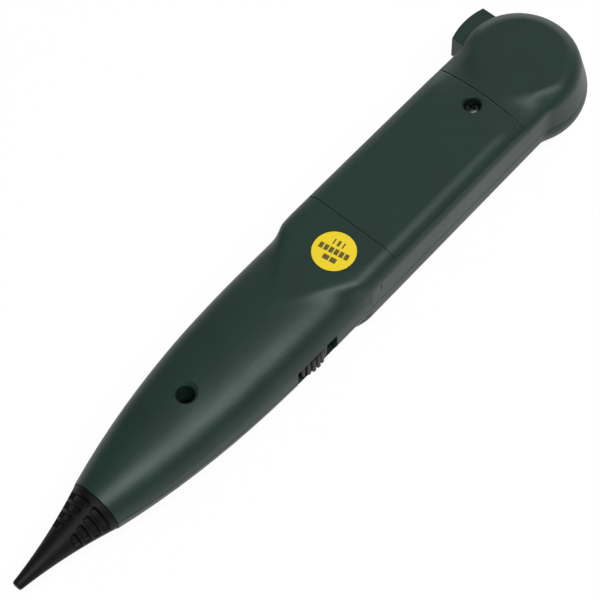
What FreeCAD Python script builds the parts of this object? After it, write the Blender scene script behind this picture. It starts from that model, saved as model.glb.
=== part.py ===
import math
import os

import FreeCAD
import Part

V = FreeCAD.Vector

# Cable tone tracer, lying face down: +Y runs from the tip to the speaker head, +X is the
# side of the volume wheel, +Z is out of the back. Sizes are in millimetres, and distances
# along the probe are measured from the end of the tip.
thickness = 25.0
split_z = 11.6
wall = 2.0
origin_from_tip = 160.0

# Nose, an ogive from the tip's seat to the handle.
nose_start = 30.0
nose_full = 105.0
nose_end = 130.0
nose_tip_radius = 8.2
nose_half_width = 16.8
nose_top = 24.93
nose_bottom = 0.3
nose_fullness = 0.58
nose_fullness_above = 0.78
tip_z = split_z - 1.1

# Handle, head and the V-shaped shoulder between nose and handle.
handle_half_width = 16.8
back_edge_radius = 5.4
front_edge_radius = 8.3
head_radius = 18.3
head_y = 209.4
skirt_half_width = 16.6
skirt_radius = 19.6
skirt_y = 211.4
skirt_start = 185.0
skirt_top = 16.8
skirt_edge_radius = 8.4
neck_blend_radius = 9.0
handle_start = 76.0
shoulder_x = 5.0
shoulder_y = 107.7
shoulder_turn = 58.4
facet_slope = 36.0
shoulder_step = 2.0
shoulder_edge_radius = 2.0

# Earphone boss on the left of the head.
boss_radius = 22.7
boss_length = 14.5
boss_top = 20.0
boss_y = 211.7
jack_z = 15.8

# Battery door, its seams and its screw.
door_start = 134.0
door_end = 191.8
door_edge_z = 22.7
seam = 0.25
door_screw_y = 187.0
door_screw_seat = 22.2

# Case screws: one down a well in the nose, two under the door.
nose_screw_y = 66.0
well_radius = 2.7
rear_screw_x = 10.4
rear_screw_y = 189.0

# Volume wheel in its slot.
wheel_x = 7.4
wheel_y = 100.5
wheel_radius = 9.5
wheel_low = 8.2
wheel_high = 15.0
wheel_teeth = 32
slot_start = 92.5
slot_end = 108.5
slot_low = 7.7
slot_high = 15.5

# Push button on the front, and the board behind it.
button_y = 80.0
board_z = 8.0
board_thickness = 1.6
board_half_width = 10.4
board_screw_spots = ((0, 48), (-7.4, 120))

# Speaker with its grille, and the battery.
speaker_radius = 13.6
speaker_z = 3.2
grille_radius = 10.2
grille_pitch = 3.1
grille_slot = 1.5
battery_start = 137.0
battery_length = 46.4
battery_width = 26.2
battery_height = 17.5
battery_z = 3.8


def cylinder(x, y, low, high, radius):
    return Part.makeCylinder(radius, high - low, V(x, y, low))


def box(x0, x1, y0, y1, z0, z1):
    return Part.makeBox(x1 - x0, y1 - y0, z1 - z0, V(x0, y0, z0))


def fuse_all(first, others):
    for other in others:
        first = first.fuse(other)
    return first.removeSplitter()


def half_space(point, normal):
    size = 200.0
    block = Part.makeBox(size, size, size, V(-size / 2, -size / 2, 0))
    block.Placement = FreeCAD.Placement(point, FreeCAD.Rotation(V(0, 0, 1), normal))
    return block


def revolve_z(points, x, y):
    wire = Part.makePolygon([V(x + r, y, z) for r, z in points + points[:1]])
    return Part.Face(wire).revolve(V(x, y, 0), V(0, 0, 1), 360)


def stadium(y, length, width, low, high):
    reach = (length - width) / 2
    body = box(-width / 2, width / 2, y - reach, y + reach, low, high)
    ends = [cylinder(0, y + side * reach, low, high, width / 2) for side in (-1, 1)]
    return fuse_all(body, ends)


def screw(x, y, seat, head_radius, head_height, shank_radius, shank_length):
    head = cylinder(x, y, seat, seat + head_height, head_radius)
    shank = cylinder(x, y, seat - shank_length, seat, shank_radius)
    return head.fuse(shank)


# A cross recess in a screw's head, for the screws that can be seen.
def crossed(solid, x, y, top, head_radius):
    arm = head_radius * 0.55
    slot = head_radius * 0.13
    depth = head_radius * 0.4
    across = box(x - arm, x + arm, y - slot, y + slot, top - depth, top + 1)
    along = box(x - slot, x + slot, y - arm, y + arm, top - depth, top + 1)
    return solid.cut(across.fuse(along))


# Control value along the nose: it leaves the first value eagerly and levels off at the last.
def grow(step, first, last, eagerness):
    return first + (last - first) * (0, eagerness / 3, 1, 1)[step]


# One quarter of the nose's skin, a cubic patch that is fuller above than below.
def nose_patch(side, up, inset):
    edge = nose_top - split_z if up > 0 else split_z - nose_bottom
    patch = Part.BezierSurface()
    patch.increase(3, 3)
    for i in range(4):
        y = nose_start + (nose_full - nose_start) * i / 3
        middle = grow(i, tip_z, split_z, 1.5)
        half = side * (grow(i, nose_tip_radius, nose_half_width, 2.4) - inset)
        reach = up * (grow(i, nose_tip_radius, edge, 1.9) - inset)
        full = grow(i, nose_fullness, nose_fullness_above if up > 0 else nose_fullness, 1.5)
        patch.setPole(i + 1, 1, V(half, y, middle))
        patch.setPole(i + 1, 2, V(half, y, middle + reach * full))
        patch.setPole(i + 1, 3, V(half * full, y, middle + reach))
        patch.setPole(i + 1, 4, V(0, y, middle + reach))
    return patch


# Points round the nose at a share of its length, from one quarter to the next.
def nose_loop(share, inset, count):
    points = []
    for side, up in ((1, 1), (-1, 1), (-1, -1), (1, -1)):
        patch = nose_patch(side, up, inset)
        turns = [(i + 0.5) / count for i in range(count)]
        if side * up < 0:
            turns.reverse()
        points += [patch.value(share, turn) for turn in turns]
    return points


# The nose, or the tunnel inside it, as a loft of fine loops with a straight run into the handle.
def nose(inset, count, strips, lead):
    loops = [nose_loop(i / strips, inset, count) for i in range(strips + 1)]
    if lead > 0:
        loops.insert(0, [point - V(0, lead, 0) for point in loops[0]])
    loops.append([point + V(0, nose_end - nose_full, 0) for point in loops[-1]])
    return Part.makeLoft([Part.makePolygon(loop + loop[:1]) for loop in loops], True, True)


# Handle and head share one plan outline, with a concave blend into the round head.
def plan_prism(inset, start, half, radius, middle_y, top):
    half -= inset
    radius -= inset
    blend = neck_blend_radius + inset
    span = half + blend
    reach = radius + blend
    rise = math.sqrt(reach ** 2 - span ** 2)

    def neck(side):
        centre = V(side * span, middle_y - rise, inset)
        inward = V(-side, 0, 0)
        to_head = V(-side * span / reach, rise / reach, 0)
        middle = (inward + to_head).normalize()
        return [centre + direction * blend for direction in (inward, middle, to_head)]

    a, b, c = neck(1)
    d, e, f = neck(-1)
    near_right = V(half, start, inset)
    near_left = V(-half, start, inset)
    edges = [
        Part.makeLine(near_left, near_right),
        Part.makeLine(near_right, a),
        Part.Arc(a, b, c).toShape(),
        Part.Arc(c, V(0, middle_y + radius, inset), f).toShape(),
        Part.Arc(f, e, d).toShape(),
        Part.makeLine(d, near_left),
    ]
    return Part.Face(Part.Wire(edges)).extrude(V(0, 0, top - 2 * inset))


def rim_edges(solid, level, start):
    rim = []
    for edge in solid.Edges:
        bounds = edge.BoundBox
        flat = abs(bounds.ZMin - level) < 1e-4 and abs(bounds.ZMax - level) < 1e-4
        if flat and bounds.YMax > start + 1:
            rim.append(edge)
    return rim


# The hollow keeps the wall with flat strips and chamfers inside the rounded skin.
def hollow(inset):
    tunnel = nose(inset, 4, 4, 4.0)
    start = nose_end - 4
    room = plan_prism(inset, start, handle_half_width, head_radius, head_y, thickness)
    leg = 2 - math.sqrt(2)
    for level, rounding in ((thickness - inset, back_edge_radius), (inset, front_edge_radius)):
        room = room.makeChamfer(leg * (rounding - inset), rim_edges(room, level, start))
    return tunnel.fuse(room).removeSplitter()


# Handle and head together, rounded along the back and the front.
def rounded_handle():
    solid = plan_prism(0, handle_start, handle_half_width, head_radius, head_y, thickness)
    for level, rounding in ((thickness, back_edge_radius), (0, front_edge_radius)):
        solid = solid.makeFillet(rounding, rim_edges(solid, level, handle_start))
    return solid


# The head swells below its rim to a wider skirt that rounds under to the front.
def head_skirt():
    solid = plan_prism(0, skirt_start, skirt_half_width, skirt_radius, skirt_y, skirt_top)
    for level, rounding in ((skirt_top, skirt_edge_radius), (0, front_edge_radius)):
        solid = solid.makeFillet(rounding, rim_edges(solid, level, skirt_start))
    return solid


# The handle's end is a prow: on each side a sloping facet over an upright step.
def shouldered_handle():
    solid = rounded_handle()
    turn = math.radians(shoulder_turn)
    slope = math.radians(facet_slope)
    for side in (1, -1):
        outward = V(side * math.sin(turn), -math.cos(turn), 0)
        ridge = V(side * shoulder_x, shoulder_y, thickness)
        facet = outward * math.sin(slope) + V(0, 0, math.cos(slope))
        solid = solid.cut(half_space(ridge, facet))
        solid = solid.cut(half_space(ridge + outward * shoulder_step, outward))
    soft = []
    for face in solid.Faces:
        normal = face.normalAt(0, 0)
        if abs(abs(normal.x) - math.sin(turn)) < 0.01 and abs(normal.z) < 0.01:
            soft += [e for e in face.Edges if abs(e.CenterOfMass.x) > handle_half_width - 6]
    return solid.makeFillet(shoulder_edge_radius, soft)


def earphone_boss():
    disc = cylinder(0, boss_y, split_z, boss_top, boss_radius)
    reach = boss_length / 2
    return disc.common(box(-30, -13, boss_y - reach, boss_y + reach, 0, thickness))


outer = fuse_all(nose(0, 10, 12, 0), [shouldered_handle(), head_skirt()])
inner = hollow(wall)
mid_wall = hollow(wall / 2)

upper_half = box(-60, 60, -10, 260, split_z, 60)
lower_half = box(-60, 60, -10, 260, -60, split_z)
door_zone = box(-30, 30, door_start, door_end, door_edge_z, 40)
slot = box(wheel_x, 30, slot_start, slot_end, slot_low, slot_high)

parts = {}

# Rear shell: skin, screw well, bulkheads of the battery bay and the screw seats.
rear = outer.common(upper_half).fuse(earphone_boss()).cut(inner)
well = cylinder(0, nose_screw_y, split_z, 40, well_radius + 1.5).common(mid_wall)
bay_low = mid_wall.common(box(-30, 30, 129.0, 130.4, split_z, door_edge_z))
bay_low = bay_low.cut(box(-4, 4, 120, 140, split_z - 1, split_z + 3))
bay_high = mid_wall.common(box(-30, 30, 184.6, 186.1, split_z, 20.8))
door_post = cylinder(0, door_screw_y, split_z, 21.2, 3.2)
rear_seats = []
for side in (-1, 1):
    seat = cylinder(side * rear_screw_x, rear_screw_y, split_z, 15.0, 3.2)
    rear_seats.append(seat)
    rib = box(13.2, 15.6, rear_screw_y - 1.5, rear_screw_y + 1.5, split_z, 15.0)
    rear_seats.append(rib if side > 0 else rib.mirror(V(0, 0, 0), V(1, 0, 0)))
    web = box(-0.7, 0.7, 185.5, rear_screw_y, split_z, 15.0)
    web.translate(V(side * rear_screw_x, 0, 0))
    rear_seats.append(web)
rear = fuse_all(rear, [well, bay_low, bay_high, door_post] + rear_seats)
holes = [
    cylinder(0, nose_screw_y, split_z + 1.6, 40, well_radius),
    cylinder(0, nose_screw_y, 0, 40, 1.3),
    Part.makeCone(well_radius, well_radius + 1.5, 1.5, V(0, nose_screw_y, 22.3)),
    cylinder(0, door_screw_y, 14.0, 40, 1.75),
    door_zone,
    slot,
]
for side in (-1, 1):
    holes.append(cylinder(side * rear_screw_x, rear_screw_y, 0, 40, 1.3))
jack_axis = V(-1, 0, 0)
holes.append(Part.makeCylinder(2.65, 20, V(-10, boss_y, jack_z), jack_axis))
holes.append(Part.makeCylinder(3.45, 5, V(-21.7, boss_y, jack_z), jack_axis))
for hole in holes:
    rear = rear.cut(hole)
parts["rear_shell"] = rear

# Front shell: skin with a shadow gap at the split, posts, ribs, speaker seat and grille.
front = outer.common(lower_half).cut(inner)
gap_band = box(-60, 60, -10, 260, split_z - 0.3, split_z + 1).cut(hollow(0.6))
front = front.cut(gap_band)
posts = [cylinder(0, nose_screw_y, 0, split_z, 3.0)]
posts += [cylinder(x, y, 0, board_z, 2.4) for x, y in board_screw_spots]
posts += [cylinder(side * 8.2, 87, 0, board_z, 2.0) for side in (-1, 1)]
posts.append(cylinder(wheel_x, wheel_y, 0, 6.4, 3.0))
for side in (-1, 1):
    posts.append(cylinder(side * rear_screw_x, rear_screw_y, 0, split_z, 3.0))
posts += [box(-9, 9, y, y + 1.6, 0, battery_z) for y in (146, 174)]
speaker_seat = [(12.6, 0), (15.6, 0), (15.6, 6.0), (14.2, 6.0), (14.2, speaker_z), (12.6, speaker_z)]
posts.append(revolve_z(speaker_seat, 0, head_y))
posts = [post.common(mid_wall) for post in posts]
front = fuse_all(front, posts)
pilots = [cylinder(0, nose_screw_y, 4.0, 20, 1.25)]
pilots += [cylinder(x, y, 4.0, 20, 1.05) for x, y in board_screw_spots]
pilots += [cylinder(side * rear_screw_x, rear_screw_y, 4.0, 20, 1.25) for side in (-1, 1)]
pilots.append(slot)
pilots.append(stadium(button_y, 13.6, 8.6, -1, 3.3))
for row in range(-3, 4):
    offset = row * grille_pitch
    reach = math.sqrt(grille_radius ** 2 - offset ** 2)
    low = head_y + offset - grille_slot / 2
    pilots.append(box(-reach, reach, low, low + grille_slot, -1, 2.6))
for pilot in pilots:
    front = front.cut(pilot)
parts["front_shell"] = front

# Battery door: a shallow cap with two hooks at the low end and a screw boss at the other.
door = outer.common(box(-30, 30, door_start + seam, door_end - seam, door_edge_z + seam, 40))
door = door.cut(inner)
door_adds = [cylinder(0, door_screw_y, 21.5, 23.4, 3.4)]
for x in (-7.5, 7.5):
    door_adds.append(box(x - 3, x + 3, door_start + seam, door_start + 3.2, 21.5, 23.4))
    door_adds.append(box(x - 3, x + 3, door_start - 1.6, door_start + 1.0, 21.5, 22.6))
door = fuse_all(door, door_adds)
door = door.cut(cylinder(0, door_screw_y, 10, 40, 1.4))
door = door.cut(cylinder(0, door_screw_y, door_screw_seat, 40, 2.6))
door = door.cut(Part.makeCone(2.6, 3.1, 0.5, V(0, door_screw_y, thickness - 0.5)))
parts["battery_door"] = door
door_screw = screw(0, door_screw_y, door_screw_seat, 2.3, 1.5, 1.2, 4.4)
parts["door_screw"] = crossed(door_screw, 0, door_screw_y, door_screw_seat + 1.5, 2.3)
parts["battery_pad"] = box(-8, 8, 146, 174, 21.7, 23.0)

# Fasteners of the case and of the board.
case_screws = []
for x, y, seat, length in (
    (0, nose_screw_y, split_z + 1.6, 8.0),
    (-rear_screw_x, rear_screw_y, 15.0, 9.8),
    (rear_screw_x, rear_screw_y, 15.0, 9.8),
):
    case_screws.append(crossed(screw(x, y, seat, 2.4, 1.6, 1.2, length), x, y, seat + 1.6, 2.4))
parts["case_screws"] = Part.makeCompound(case_screws)
board_top = board_z + board_thickness
board_screws = [screw(x, y, board_top, 1.9, 1.2, 1.0, 5.0) for x, y in board_screw_spots]
parts["board_screws"] = Part.makeCompound(board_screws)

sticker = cylinder(2.1, 124.2, thickness, thickness + 0.12, 6.35)
parts["inspection_sticker"] = sticker

# Tip: a trumpet with a plug, and side grooves that stop at a tapering smooth spine.
nib_radius = 1.2
nib_length = 0.7
flare_radius = 7.65
flare_sag = 0.54
plug_radius = 5.8
plug_end = 38.0
groove_width = 1.6
groove_depth = 0.95
groove_pitch = 2.75
first_groove = 18.75


def flare(y):
    share = (y - nib_length) / (nose_start - nib_length)
    return nib_radius + (flare_radius - nib_radius) * share - 4 * flare_sag * share * (1 - share)


profile = [(0, 0), (0.9, 0), (nib_radius, nib_length)]
flare_steps = 4
for i in range(1, flare_steps + 1):
    y = nib_length + (nose_start - nib_length) * i / flare_steps
    profile.append((flare(y), y))
profile += [(plug_radius, nose_start), (plug_radius, plug_end), (0, plug_end), (0, 0)]
tip_face = Part.Face(Part.makePolygon([V(r, y, tip_z) for r, y in profile]))
tip = tip_face.revolve(V(0, 0, tip_z), V(0, 1, 0), 360)
spine = Part.makePolygon([V(-2.1, 16, 0), V(2.1, 16, 0), V(0.9, 30, 0), V(-0.9, 30, 0), V(-2.1, 16, 0)])
spine = Part.Face(spine).extrude(V(0, 0, 40))
for groove in range(4):
    y = first_groove + groove * groove_pitch
    start = V(0, y - groove_width / 2, tip_z)
    ring = Part.makeCylinder(12, groove_width, start, V(0, 1, 0))
    ring = ring.cut(Part.makeCylinder(flare(y) - groove_depth, groove_width, start, V(0, 1, 0)))
    tip = tip.cut(ring.cut(spine))
parts["probe_tip"] = tip
contact = box(-2, 2, plug_end, plug_end + 0.4, board_top, 13.5)
parts["tip_contact"] = contact.fuse(box(-2, 2, plug_end, 45.0, board_top, board_top + 0.4)).removeSplitter()

# Board with its notch beside the wheel, and what is soldered to it.
w = board_half_width
outline = [(-4.6, 39), (4.6, 39), (w, 64), (w, 89), (-3.6, 89), (-3.6, 126), (-w, 126), (-w, 64)]
wire = Part.makePolygon([V(x, y, board_z) for x, y in outline + outline[:1]])
board = Part.Face(wire).extrude(V(0, 0, board_thickness))
board = board.cut(cylinder(0, nose_screw_y, 0, 20, 3.6))
for x, y in board_screw_spots:
    board = board.cut(cylinder(x, y, 0, 20, 1.1))
parts["circuit_board"] = board
parts["amplifier_chip"] = box(-8.2, -1.8, 73.0, 82.6, board_top, board_top + 3.4)
cans = [cylinder(6.0, 74.0, board_top, 16.6, 2.5), cylinder(6.0, 81.0, board_top, 16.6, 2.5)]
cans.append(cylinder(-7.2, 104.0, board_top, 18.0, 3.0))
parts["capacitors"] = Part.makeCompound(cans)
switch = box(-3, 3, button_y - 3, button_y + 3, 6.1, board_z)
parts["push_switch"] = switch.fuse(cylinder(0, button_y, 5.8, 6.1, 1.7)).removeSplitter()

button = stadium(button_y, 13.0, 8.0, 0.35, 4.3)
button = fuse_all(button, [stadium(button_y, 15.6, 10.6, 3.6, 4.3), cylinder(0, button_y, 4.2, 4.7, 2.0)])
parts["power_button"] = button

# Volume control: fixed base on its post, and the toothed wheel that turns on it.
base = cylinder(wheel_x, wheel_y, 6.4, board_z, 4.7)
base = base.fuse(box(-9.0, wheel_x, wheel_y - 3, wheel_y + 3, 6.4, board_z)).removeSplitter()
parts["volume_base"] = base.cut(cylinder(wheel_x, wheel_y, 6, 9, 1.6))
rim = []
for tooth in range(wheel_teeth):
    for turn, radius in ((0.0, wheel_radius), (0.42, wheel_radius), (0.71, wheel_radius - 0.75)):
        angle = 2 * math.pi * (tooth + turn) / wheel_teeth
        rim.append(V(wheel_x + radius * math.cos(angle), wheel_y + radius * math.sin(angle), wheel_low))
wheel = Part.Face(Part.makePolygon(rim + rim[:1])).extrude(V(0, 0, wheel_high - wheel_low))
wheel = wheel.fuse(cylinder(wheel_x, wheel_y, 6.6, wheel_low, 1.5)).removeSplitter()
wheel = wheel.cut(cylinder(wheel_x, wheel_y, wheel_high - 1.6, 20, 2.3))
wheel = wheel.cut(cylinder(wheel_x, wheel_y, 8.6, 20, 0.85))
parts["volume_wheel"] = wheel
parts["wheel_screw"] = screw(wheel_x, wheel_y, wheel_high - 1.6, 2.0, 1.2, 0.8, 4.4)

# Speaker behind the grille: a cone with its dust cap, a stepped can and the magnet.
can_z = speaker_z + 0.5
can_top = 9.2
paper = speaker_radius - 0.1
cone = [(paper, speaker_z), (paper, can_z), (0, can_z), (0, 2.9), (4.5, 2.9), (4.5, speaker_z)]
parts["speaker_cone"] = revolve_z(cone, 0, head_y)
can_radius = speaker_radius - 0.7
can = [(0, can_z), (speaker_radius, can_z), (speaker_radius, 4.4)]
can += [(can_radius, 4.4), (can_radius, can_top), (0, can_top)]
parts["speaker_basket"] = revolve_z(can, 0, head_y)
parts["speaker_magnet"] = cylinder(0, head_y, can_top, 13.0, 7.0)

# Battery with its terminals and the snap cap.
battery_end = battery_start + battery_length
half = battery_width / 2
battery = box(-half, half, battery_start, battery_end, battery_z, battery_z + battery_height)
battery = battery.makeFillet(2.0, [e for e in battery.Edges if e.BoundBox.YLength > 10])
parts["battery"] = battery
middle = battery_z + battery_height / 2
studs = []
for x, radius in ((-6.35, 2.8), (6.35, 3.8)):
    studs.append(Part.makeCylinder(radius, 2.4, V(x, battery_start - 2.4, middle), V(0, 1, 0)))
parts["battery_terminals"] = Part.makeCompound(studs)
snap_start = battery_start - 5.4
snap = box(-12.6, 12.6, snap_start, battery_start, middle - 6.2, middle + 6.2)
for x in (-6.35, 6.35):
    snap = snap.cut(Part.makeCylinder(4.1, 10, V(x, snap_start + 2.6, middle), V(0, 1, 0)))
parts["battery_snap"] = snap

# Earphone socket through the boss, with its collar.
jack = box(-14.9, -5.0, boss_y - 4, boss_y + 4, 13.6, 18.2)
jack = jack.fuse(Part.makeCylinder(2.6, 8.4, V(-14.0, boss_y, jack_z), jack_axis)).removeSplitter()
parts["earphone_jack"] = jack.cut(Part.makeCylinder(1.8, 13.2, V(-9.5, boss_y, jack_z), jack_axis))
collar = Part.makeCylinder(3.4, 0.7, V(-21.7, boss_y, jack_z), jack_axis)
parts["jack_collar"] = collar.cut(Part.makeCylinder(2.65, 4, V(-20, boss_y, jack_z), jack_axis))

os.makedirs("parts", exist_ok=True)
for name, shape in parts.items():
    shape = shape.copy()
    shape.translate(V(0, -origin_from_tip, 0))
    shape.exportStep("parts/" + name + ".step")
    print(name, shape.isValid(), len(shape.Solids), round(shape.Volume, 1))
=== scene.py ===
import math

import bmesh
import bpy
import numpy as np
from mathutils import Matrix, Vector
from mathutils.bvhtree import BVHTree


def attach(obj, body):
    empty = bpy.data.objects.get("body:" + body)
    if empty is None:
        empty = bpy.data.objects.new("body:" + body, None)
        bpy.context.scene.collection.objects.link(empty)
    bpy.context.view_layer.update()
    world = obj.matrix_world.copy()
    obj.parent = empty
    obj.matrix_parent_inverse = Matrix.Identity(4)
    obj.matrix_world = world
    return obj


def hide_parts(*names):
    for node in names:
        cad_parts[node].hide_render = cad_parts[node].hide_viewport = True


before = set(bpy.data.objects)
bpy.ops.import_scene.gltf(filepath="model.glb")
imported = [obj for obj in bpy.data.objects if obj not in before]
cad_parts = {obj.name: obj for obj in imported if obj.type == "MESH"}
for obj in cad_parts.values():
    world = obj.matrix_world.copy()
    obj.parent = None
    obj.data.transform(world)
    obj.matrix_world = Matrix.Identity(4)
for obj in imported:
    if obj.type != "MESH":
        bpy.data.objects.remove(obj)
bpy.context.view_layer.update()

mm = 0.001
tipEnd = -160.0  # the tip's end along Y, in mm
splitZ = 11.6    # height of the line where the two shells meet, in mm
backZ = 25.0     # height of the flat back, in mm
white = (1.0, 1.0, 1.0, 1.0)
black = (0.0, 0.0, 0.0, 1.0)
print("frame loaded:", len(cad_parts), "nodes")


# shader sums

class Value:  # a node's socket that can stand in a sum
    def __init__(self, nodes, socket):
        self.nodes = nodes
        self.socket = socket

    def maths(self, operation, first, second):
        return self.nodes.add("Math", {"operation": operation}, {0: first, 1: second})

    def __add__(self, other):
        return self.maths("ADD", self, other)

    def __radd__(self, other):
        return self.maths("ADD", other, self)

    def __sub__(self, other):
        return self.maths("SUBTRACT", self, other)

    def __rsub__(self, other):
        return self.maths("SUBTRACT", other, self)

    def __mul__(self, other):
        return self.maths("MULTIPLY", self, other)

    def __rmul__(self, other):
        return self.maths("MULTIPLY", other, self)

    def __abs__(self):
        return self.maths("ABSOLUTE", self, 0.0)


class Nodes:  # a tree of shader nodes
    def __init__(self, tree):
        self.tree = tree

    def add(self, kind, settings, sockets, output=0):
        node = self.tree.nodes.new("ShaderNode" + kind)
        for name, value in settings.items():
            if name == "stops":
                for element, (position, tone) in zip(node.color_ramp.elements, value):
                    element.position = position
                    element.color = (tone, tone, tone, 1.0)
            else:
                setattr(node, name, value)
        for name, value in sockets.items():
            self.set(node.inputs[name], value)
        return Value(self, node.outputs[output])

    def set(self, socket, value):
        if isinstance(value, Value):
            self.tree.links.new(value.socket, socket)
        else:
            socket.default_value = value

    def mix(self, share, first, second):
        return self.add("Mix", {"data_type": "RGBA"}, {"Factor": share, 6: first, 7: second}, 2)


class Finish(Nodes):  # one material and the nodes behind its shader
    def __init__(self, name, fixed):
        self.material = bpy.data.materials.new(name)
        self.material.use_nodes = True
        super().__init__(self.material.node_tree)
        self.shader = self.tree.nodes["Principled BSDF"]
        for socket, value in fixed.items():
            self.set(self.shader.inputs[socket], value)
        self.place = self.add("TexCoord", {}, {}, "Object")

    def noise(self, size, detail=3.0, spread=0.5):  # size of the pattern in metres
        sockets = {"Vector": self.place, "Scale": 1 / size, "Detail": detail, "Roughness": spread}
        return self.add("TexNoise", {}, sockets)

    def axis(self, letter):
        return self.add("SeparateXYZ", {}, {"Vector": self.place}, letter)

    def soft(self, value, low, high):  # 0 below low, 1 above high
        settings = {"interpolation_type": "SMOOTHSTEP"}
        return self.add("MapRange", settings, {"Value": value, "From Min": low, "From Max": high})

    def bump(self, height, depth):
        return self.add("Bump", {}, {"Height": height, "Distance": depth, "Strength": 1.0})

    def feed(self, colour, roughness, normal):
        self.set(self.shader.inputs["Base Color"], colour)
        self.set(self.shader.inputs["Roughness"], roughness)
        self.set(self.shader.inputs["Normal"], normal)
        return self.material


def srgb(red, green, blue):  # from screen values to linear light
    linear = [((c / 255 + 0.055) / 1.055) ** 2.4 if c > 10 else c / 3294.6 for c in (red, green, blue)]
    return (*linear, 1.0)


# moulded and metal finishes, with pattern sizes and depths in metres

mould = {
    "cloud": 0.022, "cloudDetail": 4.0, "cloudLow": 0.35, "cloudHigh": 0.7, "cloudRough": 0.10,
    "speckleDetail": 2.0, "speckleSpread": 0.6, "speckleRough": 0.08,
}
satin = {"Specular IOR Level": 0.33, "Specular Tint": (0.86, 1.0, 0.95, 1.0)}
plastics = {  # main and second colour, roughness, size and depth of the grain, gloss
    "greenPlastic": ((24, 43, 37), (21, 39, 33), 0.44, 0.00035, 0.000012, satin),
    "tipPlastic": ((13, 12, 12), (10, 9, 9), 0.52, 0.0003, 0.00001, {"Specular IOR Level": 0.14}),
    "wheelPlastic": ((16, 16, 17), (13, 13, 14), 0.46, 0.0004, 0.00001, {"Specular IOR Level": 0.25}),
    "buttonRubber": ((30, 31, 32), (24, 25, 26), 0.62, 0.0005, 0.00003, {}),
    "snapVinyl": ((22, 22, 23), (30, 30, 31), 0.5, 0.0008, 0.00004, {}),
    "chipEpoxy": ((28, 28, 30), (36, 36, 38), 0.6, 0.0003, 0.00002, {}),
    "foam": ((52, 52, 54), (40, 40, 42), 0.95, 0.0012, 0.0003, {}),
    "canSleeve": ((30, 44, 92), (24, 36, 78), 0.32, 0.002, 0.00002, {}),
    "speakerPaper": ((58, 56, 52), (44, 42, 40), 0.85, 0.0006, 0.00006, {}),
    "ferrite": ((48, 48, 50), (38, 38, 40), 0.55, 0.0005, 0.00004, {}),
}


def moulded(name, main, second, roughness, grain, depth, gloss):
    finish = Finish(name, gloss)
    clouds = finish.noise(mould["cloud"], mould["cloudDetail"])
    speckle = finish.noise(grain, mould["speckleDetail"], mould["speckleSpread"])
    share = finish.soft(clouds, mould["cloudLow"], mould["cloudHigh"])
    rough = roughness + (clouds - 0.5) * mould["cloudRough"] + (speckle - 0.5) * mould["speckleRough"]
    return finish.feed(finish.mix(share, srgb(*main), srgb(*second)), rough, finish.bump(speckle, depth))


steel = {
    "cloud": 0.003, "cloudDetail": 3.0, "cloudLow": 0.3, "cloudHigh": 0.75, "dull": 0.72,
    "grain": 0.0004, "grainDetail": 2.0, "grainRough": 0.2, "grainDepth": 0.00002,
}
metals = {  # colour and roughness
    "blackSteel": ((74, 74, 76), 0.34),
    "zincSteel": ((168, 168, 164), 0.3),
    "nickel": ((196, 192, 184), 0.22),
}


def metal(name, main, roughness):
    finish = Finish(name, {"Metallic": 1.0})
    clouds = finish.noise(steel["cloud"], steel["cloudDetail"])
    fine = finish.noise(steel["grain"], steel["grainDetail"])
    share = finish.soft(clouds, steel["cloudLow"], steel["cloudHigh"])
    colour = finish.mix(share, srgb(*main), srgb(*(c * steel["dull"] for c in main)))
    rough = roughness + (fine - 0.5) * steel["grainRough"]
    return finish.feed(colour, rough, finish.bump(fine, steel["grainDepth"]))


finishes = {name: moulded(name, *settings) for name, settings in plastics.items()}
finishes.update({name: metal(name, *settings) for name, settings in metals.items()})


# printed finishes

printing = {
    "fibre": 0.0007, "fibreDetail": 3.0, "fibreLow": 0.3, "fibreHigh": 0.75, "fibreShade": 0.965,
    "fibreDepth": 0.00001, "blur": 0.06, "inkLeast": 0.8, "inkVaries": 0.25,
    "roughness": 0.46, "roughVaries": 0.1,
}


def printed(name, paper, ink, place, turn, bars):  # a bar is its centre and half size in mm
    finish = Finish(name, {})
    x = (finish.axis("X") - place[0] * mm) * (1 / mm)
    y = (finish.axis("Y") - (place[1] + tipEnd) * mm) * (1 / mm)
    along = x * math.cos(turn) + y * math.sin(turn)
    across = y * math.cos(turn) - x * math.sin(turn)
    fibre = finish.noise(printing["fibre"], printing["fibreDetail"])
    blur = printing["blur"]
    cover = 0.0
    for middle, height, halfLong, halfHigh in bars:
        lengthwise = finish.soft(halfLong - abs(along - middle), -blur, blur)
        cover += lengthwise * finish.soft(halfHigh - abs(across - height), -blur, blur)
    share = finish.soft(fibre, printing["fibreLow"], printing["fibreHigh"])
    base = finish.mix(share, srgb(*paper), srgb(*(c * printing["fibreShade"] for c in paper)))
    colour = finish.mix(cover * (printing["inkLeast"] + fibre * printing["inkVaries"]), base, srgb(*ink))
    rough = printing["roughness"] + (fibre - 0.5) * printing["roughVaries"]
    return finish.feed(colour, rough, finish.bump(fibre, printing["fibreDepth"]))


sticker = {
    "x": 2.1, "y": 124.2, "radius": 6.35, "hub": 1.0, "low": 25.0, "high": 25.12, "edge": 0.06, "turns": 160,
    "paper": (216, 190, 20), "ink": (54, 52, 24), "turn": 189.6, "blocks": 6, "blockPitch": 1.62, "shade": 40,
}
stickerBars = [(-1.3, 2.7, 0.95, 0.8), (1.0, 2.7, 0.95, 0.8)]
stickerBars += [(-4.0 + sticker["blockPitch"] * i, 0.0, 0.62, 0.95) for i in range(sticker["blocks"])]
stickerBars += [(0.0, -2.75, 0.42, 0.95), (-1.5, -2.75, 0.22, 0.95), (1.5, -2.75, 0.22, 0.95)]
finishes["stickerPaper"] = printed(
    "stickerPaper", sticker["paper"], sticker["ink"], (sticker["x"], sticker["y"]),
    math.radians(sticker["turn"]), stickerBars,
)

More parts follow.
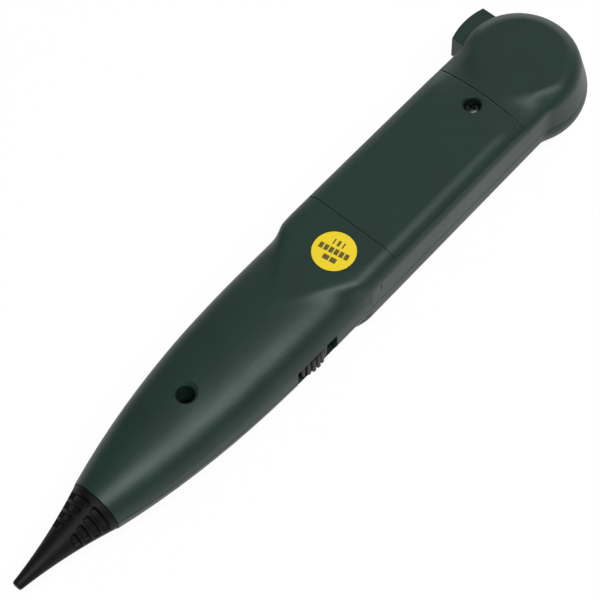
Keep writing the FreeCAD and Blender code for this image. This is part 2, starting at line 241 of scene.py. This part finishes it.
battery = {"x": 0.0, "y": 160.0, "jacket": (34, 40, 50), "ink": (176, 128, 52)}
batteryBars = [(0.0, -17.0, 14.0, 6.0), (0.0, 6.0, 7.0, 1.2), (0.0, 2.5, 7.0, 0.6)]
batteryBars += [(-7.0, 19.0, 1.6, 0.35), (-7.0, 19.0, 0.35, 1.6), (7.0, 19.0, 1.6, 0.35)]  # plus and minus
finishes["batteryJacket"] = printed(
    "batteryJacket", battery["jacket"], battery["ink"], (battery["x"], battery["y"]), 0.0, batteryBars,
)

board = {
    "mask": (20, 74, 46), "copper": (44, 112, 66), "offset": 0.37, "scale": 180.0, "line": 0.03, "blur": 0.2,
    "grain": 0.0009, "trackLeast": 0.6, "trackVaries": 0.4, "trackDepth": 0.00003, "grainDepth": 0.00001,
    "roughness": 0.3, "roughVaries": 0.15,
}


def traced(name):  # solder mask with faint tracks under it
    finish = Finish(name, {})
    tracks = finish.add("TexBrick", {"offset": board["offset"]}, {
        "Vector": finish.place, "Scale": board["scale"], "Mortar Size": board["line"],
        "Mortar Smooth": board["blur"], "Color1": black, "Color2": black, "Mortar": white,
    })
    fine = finish.noise(board["grain"])
    share = tracks * (board["trackLeast"] + fine * board["trackVaries"])
    height = tracks * board["trackDepth"] + fine * board["grainDepth"]
    colour = finish.mix(share, srgb(*board["mask"]), srgb(*board["copper"]))
    rough = board["roughness"] + (fine - 0.5) * board["roughVaries"]
    return finish.feed(colour, rough, finish.bump(height, 1.0))


finishes["boardMask"] = traced("boardMask")
print("finishes made:", len(finishes))


# pieces

meshing = {"merge": 0.004, "flat": 0.3, "evenWeight": 80}


def makeObject(name, bm, finish):
    mesh = bpy.data.meshes.new(name)
    bm.to_mesh(mesh)
    bm.free()
    mesh.materials.append(finish)
    made = bpy.data.objects.new(name, mesh)
    bpy.context.scene.collection.objects.link(made)
    return made


def addPiece(name, bm, finish, body, *nodes):  # nodes are the CAD nodes that it stands for
    piece = makeObject(name, bm, finishes[finish])
    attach(piece, body)
    if nodes:
        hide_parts(*nodes)
    return piece


def spot(x, y, z):  # a place in mm, with y measured from the tip's end
    return Vector((x, y + tipEnd, z)) * mm


def readNode(node):  # a merged copy of a node's mesh, with its flat faces made whole
    bm = bmesh.new()
    bm.from_mesh(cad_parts[node].data)
    bmesh.ops.remove_doubles(bm, verts=bm.verts, dist=meshing["merge"] * mm)
    flat = math.radians(meshing["flat"])
    bmesh.ops.dissolve_limit(bm, angle_limit=flat, verts=bm.verts, edges=bm.edges)
    return bm


def roundOff(bm, edges, width, segments):
    bmesh.ops.bevel(
        bm, geom=edges, offset=width * mm, offset_type="OFFSET", affect="EDGES",
        segments=segments, profile=0.5, material=-1, clamp_overlap=True,
    )


def shade(bm, angle):  # outward faces, smooth but for edges sharper than the angle
    bmesh.ops.recalc_face_normals(bm, faces=bm.faces)
    for face in bm.faces:
        face.smooth = True
    for edge in bm.edges:
        edge.smooth = edge.is_manifold and edge.calc_face_angle(0.0) < math.radians(angle)


def even(piece):  # lets large faces decide the shading
    modifier = piece.modifiers.new("even", "WEIGHTED_NORMAL")
    modifier.keep_sharp = True
    modifier.weight = meshing["evenWeight"]


def lathe(bm, profile, centre, axis, turns):  # spins a line of places and closes its two ends
    before = set(bm.verts)
    line = [bm.verts.new(place) for place in profile]
    edges = [bm.edges.new(pair) for pair in zip(line, line[1:])]
    bmesh.ops.spin(
        bm, geom=line + edges, cent=centre, axis=axis, angle=2 * math.pi, steps=turns, use_merge=True,
    )
    bmesh.ops.edgeloop_fill(bm, edges=[edge for edge in bm.edges if edge.is_boundary])
    return [v for v in bm.verts if v not in before]


def layGrid(bm, rows):  # a sheet of squares through rows of places
    made = bmesh.ops.create_grid(bm, x_segments=len(rows[0]) - 1, y_segments=len(rows) - 1, size=1.0)
    verts = sorted(made["verts"], key=lambda v: (v.co.y, v.co.x))
    for v, place in zip(verts, [place for row in rows for place in row]):
        v.co = Vector(place)


def cutAcross(bm, place, normal, faces=None):  # adds edges where a plane meets some or all faces
    if faces is None:
        geom = bm.verts[:] + bm.edges[:] + bm.faces[:]
    else:
        geom = list({part for face in faces for part in (*face.verts, *face.edges)}) + faces
    bmesh.ops.bisect_plane(bm, geom=geom, plane_co=place, plane_no=normal)


def ease(value, low, high):
    share = min(max((value - low) / (high - low), 0.0), 1.0)
    return share * share * (3 - 2 * share)


def corner(size, steps):  # inset and drop along a quarter round
    turns = [math.pi / 2 * i / steps for i in range(steps + 1)]
    return [(size * (1 - math.sin(turn)), size * (1 - math.cos(turn))) for turn in turns]


# shells

# wall and skin are limits on how far a face's normal points along its axis
door = {"start": 134.0, "end": 191.8, "edge": 0.16, "lowest": 22.6, "gap": 0.3, "wall": 0.99, "skin": 0.5}
boss = {
    "near": 204.0, "far": 219.5, "reach": -16.5, "low": 12.0, "top": 20.0, "level": 0.05, "upright": 2.0,
    "sharp": 50, "edge": 0.3,
}


def atSeam(edge):  # outer edges at the door's two ends
    walls = [face for face in edge.link_faces if abs(face.normal.y) > door["wall"]]
    skins = [face for face in edge.link_faces if abs(face.normal.y) < door["skin"]]
    if len(walls) != 1 or len(skins) != 1:
        return False
    centre = skins[0].calc_center_median()
    outward = skins[0].normal.x * centre.x + skins[0].normal.z * (centre.z - splitZ * mm)
    if outward < 0 or min(v.co.z for v in edge.verts) < door["lowest"] * mm:
        return False
    for seam in (door["start"], door["end"]):
        if all(abs(v.co.y - (seam + tipEnd) * mm) < door["gap"] * mm for v in edge.verts):
            return True
    return False


def atBoss(edge):  # top and upright edges of the squared boss on the head
    if len(edge.link_faces) != 2 or edge.calc_face_angle(0.0) < math.radians(boss["sharp"]):
        return False
    for v in edge.verts:
        y = v.co.y / mm - tipEnd
        if v.co.x / mm > boss["reach"] or not boss["near"] < y < boss["far"] or v.co.z < boss["low"] * mm:
            return False
    onTop = all(v.co.z > (boss["top"] - boss["level"]) * mm for v in edge.verts)
    return onTop or abs(edge.verts[0].co.z - edge.verts[1].co.z) > boss["upright"] * mm


shoulder = {
    "axisZ": 5.0, "low": 35.0, "high": 145.0, "near": 84.0, "far": 127.0, "turns": 76, "rows": 86,
    "outside": 40.0, "skinGap": 0.2, "rounds": 34, "fill": 0.9, "wear": 0.12, "fade": 8,
    "hem": 0.3, "tuck": 0.3, "merge": 0.02, "backing": 0.06, "backingHalf": 0.7,
}


def fillHollows(points):  # moves a grid's points along its normals, outwards more than inwards
    cells = np.arange(points.shape[1])
    fade = np.clip(np.minimum(cells, cells[::-1]) / shoulder["fade"], 0, 1)[None, :, None]
    for _ in range(shoulder["rounds"]):
        around = sum(np.roll(points, (i, j), (0, 1)) for i in (-1, 0, 1) for j in (-1, 0, 1)) / 9
        normals = np.cross(np.gradient(points, axis=1), np.gradient(points, axis=0))
        normals /= np.linalg.norm(normals, axis=2, keepdims=True)
        push = ((around - points) * normals).sum(2, keepdims=True)
        push *= np.where(push > 0, shoulder["fill"], shoulder["wear"])
        points[1:-1, 1:-1] += (push * normals * fade)[1:-1, 1:-1]


def softenShoulder(bm):  # a fine grid takes the place of the creased skin, with its hollows filled
    tree = BVHTree.FromBMesh(bm)
    turns = np.radians(np.linspace(shoulder["low"], shoulder["high"], shoulder["turns"]))
    along = np.linspace(shoulder["near"], shoulder["far"], shoulder["rows"])
    axis = spot(0, 0, shoulder["axisZ"])

    def hit(turn, y):
        out = Vector((math.cos(turn), 0, math.sin(turn)))
        return tree.ray_cast(spot(0, y, shoulder["axisZ"]) + out * shoulder["outside"] * mm, -out)[0]

    points = np.array([[hit(turn, y) / mm for y in along] for turn in turns])
    cuts = [(axis, (-math.sin(turn), 0, math.cos(turn))) for turn in (turns[0], turns[-1])]
    cuts += [(spot(0, y, 0), (0, 1, 0)) for y in along]
    for place, normal in cuts:
        cutAcross(bm, place, normal)
    old = []
    for face in bm.faces:
        centre = face.calc_center_median()
        y = centre.y / mm - tipEnd
        turn = math.atan2(centre.z - axis.z, centre.x)
        if turns[0] < turn < turns[-1] and along[0] < y < along[-1]:
            if (hit(turn, y) - centre).length < shoulder["skinGap"] * mm:
                old.append(face)
    bmesh.ops.delete(bm, geom=old, context="FACES")
    fillHollows(points)
    hem = np.array((0, shoulder["hem"], shoulder["tuck"]))
    points = np.concatenate((points[:, :1] - hem, points, points[:, -1:] + hem * (1, 1, -1)), axis=1)
    layGrid(bm, points * mm)
    rim = [v for v in bm.verts if v.is_boundary]
    bmesh.ops.remove_doubles(bm, verts=rim, dist=shoulder["merge"] * mm)
    for line, inner, side in ((points[0], points[1], 1), (points[-1], points[-2], -1)):
        aside = (line - inner) / np.linalg.norm(line - inner, axis=1, keepdims=True)
        under = line - np.cross((0, side, 0), -aside) * shoulder["backing"]
        half = aside * shoulder["backingHalf"]
        layGrid(bm, np.array((under - half, under + half))[:, 1:-1] * mm)  # a strip under each joint
    print("shoulder softened:", len(old), "faces replaced, open rim", len(rim))


saddle = {
    "near": 179.0, "far": 212.0, "half": 16.0, "step": 1.0, "headY": 209.4, "rimZ": 19.6,
    "sag": 0.008, "reach": 12.5, "discEdge": 12.4, "discFoot": 17.6, "sagEnd": 19.0, "handle": 29.0,
    "sideStart": 201.0, "sideEnd": 210.0, "outside": 40.0, "skinGap": 0.3,
}


def sinkDepth(x, y, z):  # how far the back lies below the head's flat disc, in mm
    away = math.hypot(x, y - saddle["headY"])
    share = ease(away, saddle["discEdge"], saddle["discFoot"])
    share *= 1 - ease(away, saddle["sagEnd"], saddle["handle"])
    share *= (1 - ease(y, saddle["sideStart"], saddle["sideEnd"])) * ease(z, saddle["rimZ"], backZ)
    return saddle["sag"] * min(abs(x), saddle["reach"]) ** 2 * share


def sinkBack(bm):  # lowers only the outer skin
    tree = BVHTree.FromBMesh(bm)
    outer = []
    for v in bm.verts:
        x, y, z = v.co.x / mm, v.co.y / mm - tipEnd, v.co.z / mm
        if z > saddle["rimZ"] and saddle["near"] < y < saddle["far"]:
            top = tree.ray_cast(spot(x, y, saddle["outside"]), Vector((0, 0, -1)))[0]
            if top is None or top.z - v.co.z < saddle["skinGap"] * mm:
                outer.append((v, sinkDepth(x, y, z)))
    for v, depth in outer:
        v.co.z -= depth * mm


def cutBack(bm):  # cuts the skin into small squares where it will sink
    near = saddle["near"]
    far = saddle["far"]
    step = saddle["step"]
    for i in range(int((far - near) / step) + 1):
        cutAcross(bm, spot(0, near + i * step, 0), (0, 1, 0))
    for i in range(int(2 * saddle["half"] / step) + 1):
        faces = [face for face in bm.faces if near < face.calc_center_median().y / mm - tipEnd < far]
        cutAcross(bm, spot(i * step - saddle["half"], 0, 0), (1, 0, 0), faces)


shells = {"segments": 2, "shade": 32}


def buildShell(node, body, rounded):
    bm = readNode(node)
    for choose, width in rounded:
        edges = [edge for edge in bm.edges if choose(edge)]
        print(node, "edges rounded:", len(edges))
        roundOff(bm, edges, width, shells["segments"])
    bmesh.ops.triangulate(bm, faces=bm.faces)
    if node == "rear_shell":
        softenShoulder(bm)
    if node != "front_shell":
        cutBack(bm)
        sinkBack(bm)
    shade(bm, shells["shade"])
    even(addPiece(node + "Skin", bm, "greenPlastic", body, node))


buildShell("rear_shell", "casing", [(atSeam, door["edge"]), (atBoss, boss["edge"])])
buildShell("front_shell", "casing", [])
buildShell("battery_door", "battery_door", [(atSeam, door["edge"])])

seamStrip = {
    "half": 11.4, "radius": 5.4, "edgeZ": 22.75, "sunk": 0.32, "wide": 0.3, "behind": 0.05, "steps": 12,
    "shade": 40,
}


def buildSeamStrip():  # a lip of the rear shell just under each end of the door
    bm = bmesh.new()
    radius = seamStrip["radius"] - seamStrip["sunk"]
    middle = backZ - seamStrip["radius"]
    last = math.asin((seamStrip["edgeZ"] - middle) / seamStrip["radius"])
    turns = [last + (math.pi / 2 - last) * i / seamStrip["steps"] for i in range(seamStrip["steps"] + 1)]
    curve = [(seamStrip["half"] + radius * math.cos(t), middle + radius * math.sin(t)) for t in turns]
    curve += [(-x, z) for x, z in reversed(curve)]
    for y, side in ((door["start"], 1), (door["end"], -1)):
        ends = (y - seamStrip["behind"] * side, y + seamStrip["wide"] * side)
        layGrid(bm, [[spot(x, end, z) for x, z in curve] for end in ends])
    sinkBack(bm)
    shade(bm, seamStrip["shade"])
    addPiece("seamStrip", bm, "greenPlastic", "casing")


buildSeamStrip()

head = {
    "flat": {"half": 11.4, "radius": 12.9, "middle": 209.4, "blend": 14.4},
    "foot": {"half": 8.4, "radius": 11.23, "middle": 211.4, "blend": 17.4},
    "rimRadius": 5.43, "rimZ": 19.57, "footRadius": 8.4, "footZ": 8.4, "start": 193.0,
    "straight": 5, "neck": 14, "round": 44, "rimRows": 16, "wallRows": 8, "lip": 1.0, "shade": 50,
}


def headOutline(shape):  # points and outward directions from the right side round to the far end
    span = shape["half"] + shape["blend"]
    reach = shape["radius"] + shape["blend"]
    rise = math.sqrt(reach ** 2 - span ** 2)
    bend = shape["middle"] - rise
    lean = math.atan2(rise, span)
    steps = []
    for i in range(head["straight"]):
        y = head["start"] + (bend - head["start"]) * i / head["straight"]
        steps.append((Vector((shape["half"], y)), Vector((1, 0))))
    for i in range(head["neck"]):
        turn = lean * i / head["neck"]
        out = Vector((math.cos(turn), -math.sin(turn)))
        steps.append((Vector((span, bend)) - out * shape["blend"], out))
    for i in range(head["round"] + 1):
        turn = -lean + (math.pi / 2 + lean) * i / head["round"]
        out = Vector((math.cos(turn), math.sin(turn)))
        steps.append((Vector((0, shape["middle"])) + out * shape["radius"], out))
    return steps


def headColumns():  # columns from the flat's edge over the rim and down to the split
    drop = head["rimZ"] - head["footZ"]
    columns = []
    for (top, out), (foot, footOut) in zip(headOutline(head["flat"]), headOutline(head["foot"])):
        gap = (foot - top).dot(out)
        lean = math.asin((head["footRadius"] - head["rimRadius"]) / math.hypot(drop, gap))
        lean += math.atan2(gap, drop)
        column = []
        for i in range(head["rimRows"] + 1):
            turn = math.pi / 2 + (lean - math.pi / 2) * i / head["rimRows"]
            side = top + out * head["rimRadius"] * math.cos(turn)
            column.append((side.x, side.y, head["rimZ"] + head["rimRadius"] * math.sin(turn)))
        rim = Vector(column[-1])
        low = foot + footOut * head["footRadius"] * math.cos(lean)
        base = Vector((low.x, low.y, head["footZ"] + head["footRadius"] * math.sin(lean)))
        share = (rim.z - splitZ) / (rim.z - base.z)
        for i in range(1, head["wallRows"] + 1):
            column.append(tuple(rim.lerp(base, share * i / head["wallRows"])))
        x, y, z = column[-1]
        column.append((x - out.x * head["lip"], y - out.y * head["lip"], z))
        columns.append(column)
    mirrored = [[(-x, y, z) for x, y, z in column] for column in reversed(columns[:-1])]
    return columns + mirrored


def buildHead():
    bm = bmesh.new()
    layGrid(bm, [[spot(*point) for point in column] for column in headColumns()])
    sinkBack(bm)
    shade(bm, head["shade"])
    addPiece("headSkin", bm, "greenPlastic", "casing")


buildHead()
print("shells built")


# tip

tip = {
    "z": 10.5, "nib": 1.55, "nibLength": 0.6, "flare": 8.1, "sag": 0.75, "length": 30.0,
    "end": [(0.0, 1.1), (0.04, 1.27), (0.2, 1.41)],  # distance from the end and radius
    "plug": 5.8, "plugEnd": 38.0, "turns": 144, "step": 0.18, "corner": 0.3, "cornerSteps": 4,
    "firstGroove": 18.75, "groovePitch": 2.75, "grooves": 4, "width": 2.0, "depth": 1.25,
    "wallLow": -0.15, "wallHigh": 0.25, "spine": 1.9, "spineEnd": 0.35, "spineStart": 16.0,
    "fadeLow": 0.17, "fadeHigh": 0.42, "roll": -12.4, "shade": 40,
}


def flare(y):  # radius of the hollow-sided cone
    share = (y - tip["nibLength"]) / (tip["length"] - tip["nibLength"])
    return tip["nib"] + (tip["flare"] - tip["nib"]) * share - 4 * tip["sag"] * share * (1 - share)


def grooveDepth(y, turn, radius):  # grooves end round at the spine and fade out at the sides
    turn -= math.radians(tip["roll"])
    share = (y - tip["spineStart"]) / (tip["length"] - tip["spineStart"])
    spine = tip["spine"] + (tip["spineEnd"] - tip["spine"]) * share
    half = tip["width"] / 2
    deepest = 0.0
    for groove in range(tip["grooves"]):
        along = y - tip["firstGroove"] - groove * tip["groovePitch"]
        inward = max(spine + half - abs(radius * math.cos(turn)), 0.0)
        inside = half - math.hypot(inward, along)
        deepest = max(deepest, ease(inside, tip["wallLow"], tip["wallHigh"]))
    return tip["depth"] * deepest * ease(abs(math.sin(turn)), tip["fadeLow"], tip["fadeHigh"])


def buildTip():
    rows = list(tip["end"])
    y = tip["nibLength"]
    while y < tip["length"] - tip["corner"]:
        rows.append((y, flare(y)))
        y += tip["step"]
    for inset, drop in corner(tip["corner"], tip["cornerSteps"])[1:]:
        rows.append((tip["length"] - inset, flare(tip["length"]) - drop))
    rows += [(tip["length"], tip["plug"]), (tip["plugEnd"], tip["plug"])]
    bm = bmesh.new()
    middle = spot(0, 0, tip["z"])
    profile = [spot(radius, y, tip["z"]) for y, radius in rows]
    for v in lathe(bm, profile, middle, (0, 1, 0), tip["turns"]):
        out = Vector((v.co.x, 0, v.co.z - middle.z))
        turn = math.atan2(out.z, out.x)
        v.co -= out.normalized() * grooveDepth(v.co.y / mm - tipEnd, turn, out.length / mm) * mm
    shade(bm, tip["shade"])
    addPiece("tipSkin", bm, "tipPlastic", "casing", "probe_tip")


buildTip()
print("tip built")


# wheel

wheel = {
    "x": 7.4, "y": 100.5, "low": 8.2, "high": 15.0, "radius": 9.5, "flat": 7.5, "edge": 0.4, "edgeSteps": 4,
    "teeth": 32, "steps": 12, "drop": 0.75, "root": 8.5, "valley": 0.71, "valleyHalf": 0.29,
    "wallLow": 0.05, "wallHigh": 0.9, "pocket": 2.3, "pocketDepth": 1.6, "pocketHub": 0.9,
    "spindle": 1.5, "spindleLow": 6.6, "shade": 45,
}


def toothDrop(turn):  # depth of the valley beside each tooth
    share = turn / (2 * math.pi) * wheel["teeth"] % 1.0
    inside = 1 - abs(share - wheel["valley"]) / wheel["valleyHalf"]
    return wheel["drop"] * ease(inside, wheel["wallLow"], wheel["wallHigh"])


def buildWheel():
    low = wheel["low"]
    high = wheel["high"]
    floor = high - wheel["pocketDepth"]
    edge = corner(wheel["edge"], wheel["edgeSteps"])
    rows = [(wheel["spindle"], wheel["spindleLow"]), (wheel["spindle"], low), (wheel["flat"], low)]
    rows += [(wheel["radius"] - inset, low + drop) for inset, drop in edge]
    rows += [(wheel["radius"] - inset, high - drop) for inset, drop in reversed(edge)]
    rows += [(wheel["flat"], high), (wheel["pocket"], high)]
    rows += [(wheel["pocket"], floor), (wheel["pocketHub"], floor)]
    bm = bmesh.new()
    middle = spot(wheel["x"], wheel["y"], 0)
    profile = [spot(wheel["x"] + radius, wheel["y"], z) for radius, z in rows]
    for v in lathe(bm, profile, middle, (0, 0, 1), wheel["teeth"] * wheel["steps"]):
        out = Vector((v.co.x - middle.x, v.co.y - middle.y, 0))
        if out.length > wheel["root"] * mm:
            v.co -= out.normalized() * toothDrop(math.atan2(out.y, out.x)) * mm
    shade(bm, wheel["shade"])
    addPiece("wheelSkin", bm, "wheelPlastic", "volume_wheel", "volume_wheel")


buildWheel()
print("wheel built")


# screws

screws = {
    "turns": 72, "rings": 26, "crown": 0.22, "edge": 0.3, "dome": 0.8, "hub": 0.02,
    "pointWide": 0.6, "pointLong": 0.5, "arm": 0.56, "slot": 0.12, "depth": 0.45,
    "wallLow": -0.03, "wallHigh": 0.06, "shade": 40,
}
doorScrews = [(0, 187.0, 22.2, 2.3, 1.5, 1.2, 4.4)]  # x, y, seat, head radius, height, shank radius, length
caseScrews = [
    (0, 66.0, 13.2, 2.4, 1.6, 1.2, 8.0),
    (-10.4, 189.0, 15.0, 2.4, 1.6, 1.2, 9.8),
    (10.4, 189.0, 15.0, 2.4, 1.6, 1.2, 9.8),
]


def crossDepth(side, along, radius):  # two crossed slots in a head
    deepest = 0.0
    for across, reach in ((side, along), (along, side)):
        inside = min(screws["slot"] * radius - abs(across), screws["arm"] * radius - abs(reach))
        deepest = max(deepest, ease(inside, screws["wallLow"], screws["wallHigh"]))
    return deepest * screws["depth"] * radius


def turnScrew(bm, x, y, seat, radius, height, shank, length):
    rise = screws["crown"] * radius + screws["edge"]
    brim = seat + height - rise
    end = seat - length
    rows = [(shank * screws["pointWide"], end), (shank, end + shank * screws["pointLong"])]
    rows += [(shank, seat), (radius, seat), (radius, brim)]
    for i in range(1, screws["rings"] + 1):
        turn = math.pi / 2 * (i / screws["rings"])
        wide = radius * math.cos(turn) ** screws["dome"] + screws["hub"]
        rows.append((wide, brim + rise * math.sin(turn) ** screws["dome"]))
    middle = spot(x, y, 0)
    profile = [spot(x + wide, y, z) for wide, z in rows]
    for v in lathe(bm, profile, middle, (0, 0, 1), screws["turns"]):
        if v.co.z > (seat + screws["edge"]) * mm:
            side = (v.co - middle) / mm
            v.co.z -= crossDepth(side.x, side.y, radius) * mm


def buildScrews(name, body, node, screwList):
    bm = bmesh.new()
    for screw in screwList:
        turnScrew(bm, *screw)
    shade(bm, screws["shade"])
    addPiece(name, bm, "blackSteel", body, node)


buildScrews("doorScrew", "battery_door", "door_screw", doorScrews)
buildScrews("caseScrews", "casing", "case_screws", caseScrews)
print("screws built")


# sticker and button

def buildSticker():
    low = sticker["low"]
    high = sticker["high"]
    rim = sticker["radius"]
    rows = [(sticker["hub"], low), (rim, low), (rim, low + sticker["edge"])]
    rows += [(rim - sticker["edge"], high), (sticker["hub"], high)]
    bm = bmesh.new()
    profile = [spot(sticker["x"] + radius, sticker["y"], z) for radius, z in rows]
    lathe(bm, profile, spot(sticker["x"], sticker["y"], 0), (0, 0, 1), sticker["turns"])
    shade(bm, sticker["shade"])
    addPiece("stickerSkin", bm, "stickerPaper", "casing", "inspection_sticker")


button = {"low": 0.36, "sharp": 1.0, "edge": 0.9, "segments": 5, "shade": 40}  # sharp in radians


def buildButton():
    bm = readNode("power_button")
    outer = [edge for edge in bm.edges if all(v.co.z < button["low"] * mm for v in edge.verts)]
    edges = [edge for edge in outer if edge.calc_face_angle(0.0) > button["sharp"]]
    roundOff(bm, edges, button["edge"], button["segments"])
    bmesh.ops.triangulate(bm, faces=bm.faces)
    shade(bm, button["shade"])
    even(addPiece("buttonSkin", bm, "buttonRubber", "power_button", "power_button"))


buildSticker()
buildButton()
print("sticker and button built")

nodeFinishes = {
    "wheel_screw": "zincSteel",
    "board_screws": "zincSteel",
    "battery_pad": "foam",
    "tip_contact": "nickel",
    "circuit_board": "boardMask",
    "amplifier_chip": "chipEpoxy",
    "capacitors": "canSleeve",
    "push_switch": "chipEpoxy",
    "volume_base": "zincSteel",
    "speaker_cone": "speakerPaper",
    "speaker_basket": "zincSteel",
    "speaker_magnet": "ferrite",
    "battery": "batteryJacket",
    "battery_terminals": "nickel",
    "battery_snap": "snapVinyl",
    "earphone_jack": "chipEpoxy",
    "jack_collar": "nickel",
}
for node, finish in nodeFinishes.items():
    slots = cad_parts[node].data.materials
    slots.clear()
    slots.append(finishes[finish])
print("nodes finished")


# stage, light and camera

studio = {
    "floorSide": 6.0, "floorGap": 0.2, "floorTone": 0.85, "floorRough": 0.9, "floorGloss": 0.1,
    "whiteShare": 0.94, "skyLow": 0.3, "skyTop": 0.16, "skyKnee": 0.8,
}
lamps = {
    "keyBox": {"place": (0.36, -0.08, 1.0), "aim": (0.0, -0.05, 0.01), "size": (1.0, 0.6), "power": 14.0},
    "backBox": {"place": (-0.62, 1.1, 0.34), "aim": (0.0, 0.04, 0.02), "size": (1.5, 0.5), "power": 7.0},
}
view = {
    "place": (0.1931, -0.2433, 0.4997), "aim": (-0.00007, -0.04814, 0.01175), "roll": -3.65,
    "lens": 120.0, "sensor": 36.0, "clip": 0.01,
}


def buildFloor():  # pale paper that looks white and keeps a little of the shadow
    bm = bmesh.new()
    bmesh.ops.create_grid(bm, x_segments=1, y_segments=1, size=studio["floorSide"] / 2)
    bmesh.ops.translate(bm, verts=bm.verts, vec=(0, 0, -studio["floorGap"] * mm))
    tone = studio["floorTone"]
    finish = Finish("floorPaper", {
        "Base Color": (tone, tone, tone, 1.0), "Roughness": studio["floorRough"],
        "Specular IOR Level": studio["floorGloss"],
    })
    seen = finish.add("LightPath", {}, {}, "Is Camera Ray")
    for kind in ("Is Glossy Ray", "Is Transmission Ray"):
        seen = seen + finish.add("LightPath", {}, {}, kind)
    glow = finish.add("Emission", {}, {"Color": white, "Strength": 1.0})
    lit = Value(finish, finish.shader.outputs[0])
    shown = finish.add("MixShader", {}, {0: seen * studio["whiteShare"], 1: lit, 2: glow})
    finish.set(finish.tree.nodes["Material Output"].inputs["Surface"], shown)
    makeObject("floor", bm, finish.material)


def buildSky():  # white to the camera, soft grey to the object
    world = bpy.data.worlds.new("studio")
    bpy.context.scene.world = world
    world.use_nodes = True
    sky = Nodes(world.node_tree)
    place = sky.add("TexCoord", {}, {}, "Generated")
    height = sky.add("SeparateXYZ", {}, {"Vector": place}, "Z")
    stops = [(0.0, studio["skyLow"]), (studio["skyKnee"], studio["skyTop"])]
    tone = sky.add("ValToRGB", {"stops": stops}, {0: height})
    seen = sky.add("LightPath", {}, {}, "Is Camera Ray")
    sky.set(sky.tree.nodes["Background"].inputs["Color"], sky.mix(seen, tone, white))


def lookAt(place, aim):
    return (Vector(aim) - Vector(place)).to_track_quat("-Z", "Y")


def addLamp(name, place, aim, size, power):
    lamp = bpy.data.lights.new(name, "AREA")
    lamp.shape = "RECTANGLE"
    lamp.size, lamp.size_y = size
    lamp.energy = power
    holder = bpy.data.objects.new(name, lamp)
    bpy.context.scene.collection.objects.link(holder)
    holder.location = place
    holder.rotation_euler = lookAt(place, aim).to_euler()


def buildCamera():
    lens = bpy.data.cameras.new("camera")
    lens.sensor_width = view["sensor"]
    lens.lens = view["lens"]
    lens.clip_start = view["clip"]
    camera = bpy.data.objects.new("camera", lens)
    bpy.context.scene.collection.objects.link(camera)
    turn = lookAt(view["place"], view["aim"]).to_matrix()
    lean = Matrix.Rotation(math.radians(view["roll"]), 3, "Z")
    camera.matrix_world = Matrix.Translation(view["place"]) @ (turn @ lean).to_4x4()
    bpy.context.scene.camera = camera


buildFloor()
buildSky()
for name, settings in lamps.items():
    addLamp(name, **settings)
buildCamera()
bpy.context.scene.view_settings.view_transform = "Standard"
print("studio set")
